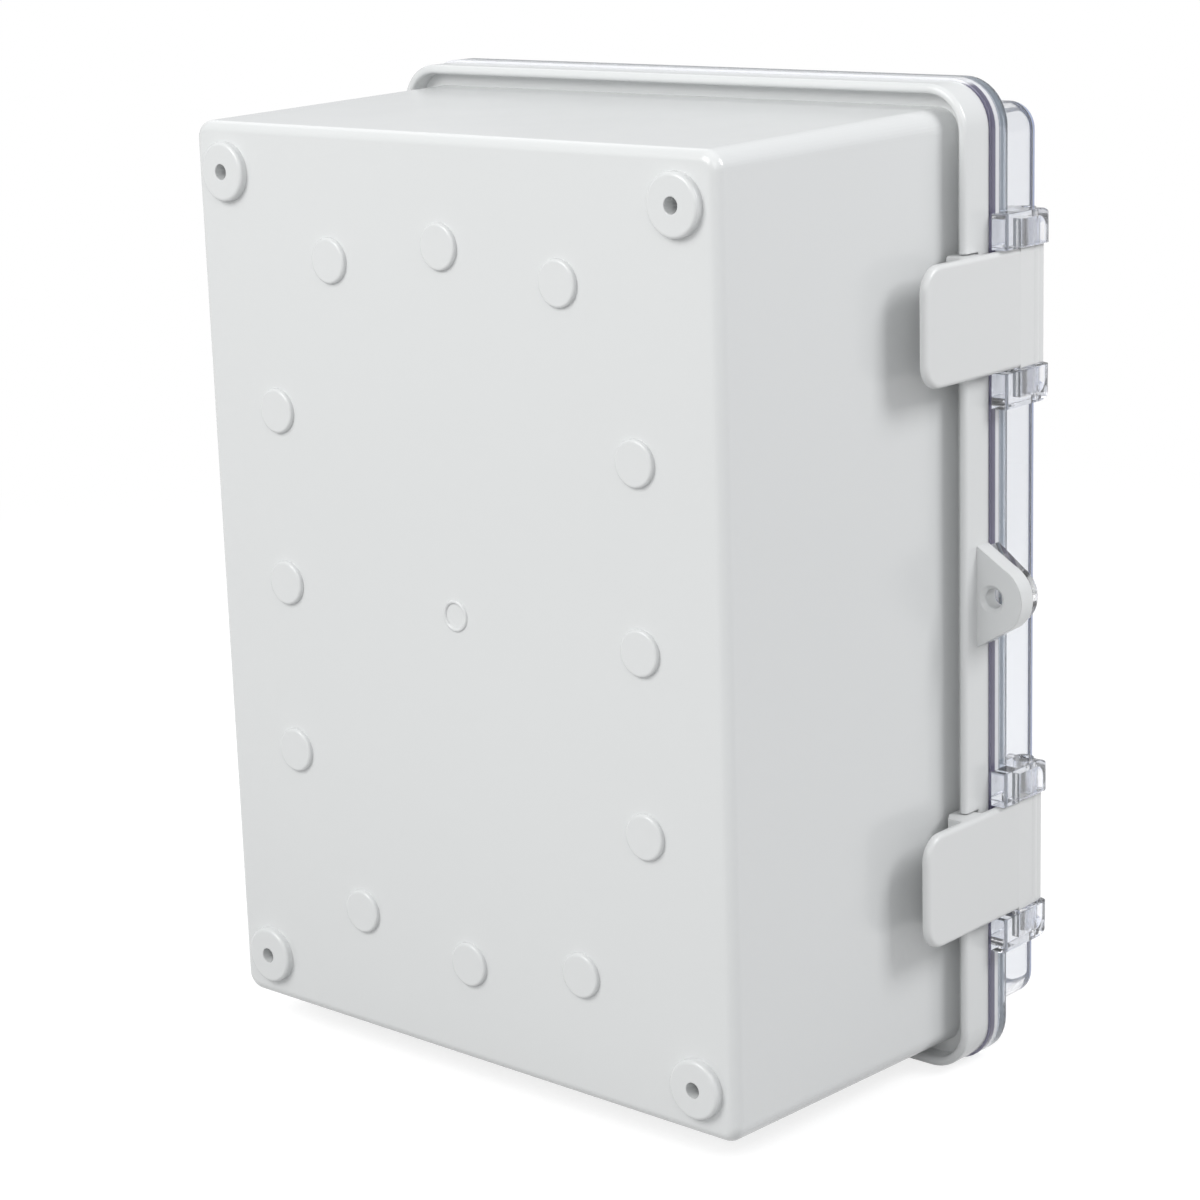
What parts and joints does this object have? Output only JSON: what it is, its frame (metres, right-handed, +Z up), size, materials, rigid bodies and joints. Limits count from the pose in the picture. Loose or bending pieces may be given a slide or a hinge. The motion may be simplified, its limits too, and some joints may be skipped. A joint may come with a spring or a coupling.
{
  "type": "hinged polycarbonate enclosure",
  "caption": "Wall-mounted box with a drafted grey base, drip-lip flange, clear raised lid on side hinges, snap latches opposite, a padlock eye and an inner mounting plate",
  "frame": {"origin": "centre of the plane of the four wall pads' faces, on the centre of the wall hole pattern", "axes": "+Z up along the height, +Y out of the back towards the wall, -Y towards the lid, hinges on the +X side and latches on the -X side"},
  "size_m": [0.334, 0.204, 0.402],
  "materials": {
    "base_plastic": "light grey moulded polycarbonate, satin gloss",
    "latch_plastic": "slightly darker grey moulded polycarbonate, satin gloss",
    "lid_plastic": "clear polished polycarbonate",
    "seal_foam": "closed-cell polyurethane foam",
    "pin_steel": "ground stainless steel",
    "screw_zinc": "zinc-plated steel",
    "plate_zinc": "galvanised sheet steel",
    "insert_brass": "turned brass"
  },
  "bodies": {
    "base_body": {"base": "base_plastic", "hinge_leaf_upper": "latch_plastic", "hinge_leaf_lower": "latch_plastic", "hinge_screws": "screw_zinc", "mounting_plate": "plate_zinc", "plate_screws": "screw_zinc", "boss_inserts": "insert_brass"},
    "lid_body": {"lid": "lid_plastic", "lid_gasket": "seal_foam", "latch_pin_upper": "pin_steel", "latch_pin_lower": "pin_steel", "hinge_pin_upper": "pin_steel", "hinge_pin_lower": "pin_steel"},
    "upper_latch_body": {"latch_upper": "latch_plastic"},
    "lower_latch_body": {"latch_lower": "latch_plastic"}
  },
  "joints": [
    {"name": "lid_hinge", "type": "hinge", "parent": "base_body", "child": "lid_body", "pos_m": [0.1575, -0.1555, 0], "axis": [0, 0, 1], "range_deg": [0, 170]},
    {"name": "upper_latch_hinge", "type": "hinge", "parent": "lid_body", "child": "upper_latch_body", "pos_m": [-0.15, -0.1765, 0.112], "axis": [0, 0, 1], "range_deg": [0, 110]},
    {"name": "lower_latch_hinge", "type": "hinge", "parent": "lid_body", "child": "lower_latch_body", "pos_m": [-0.15, -0.1765, -0.112], "axis": [0, 0, 1], "range_deg": [0, 110]}
  ]
}
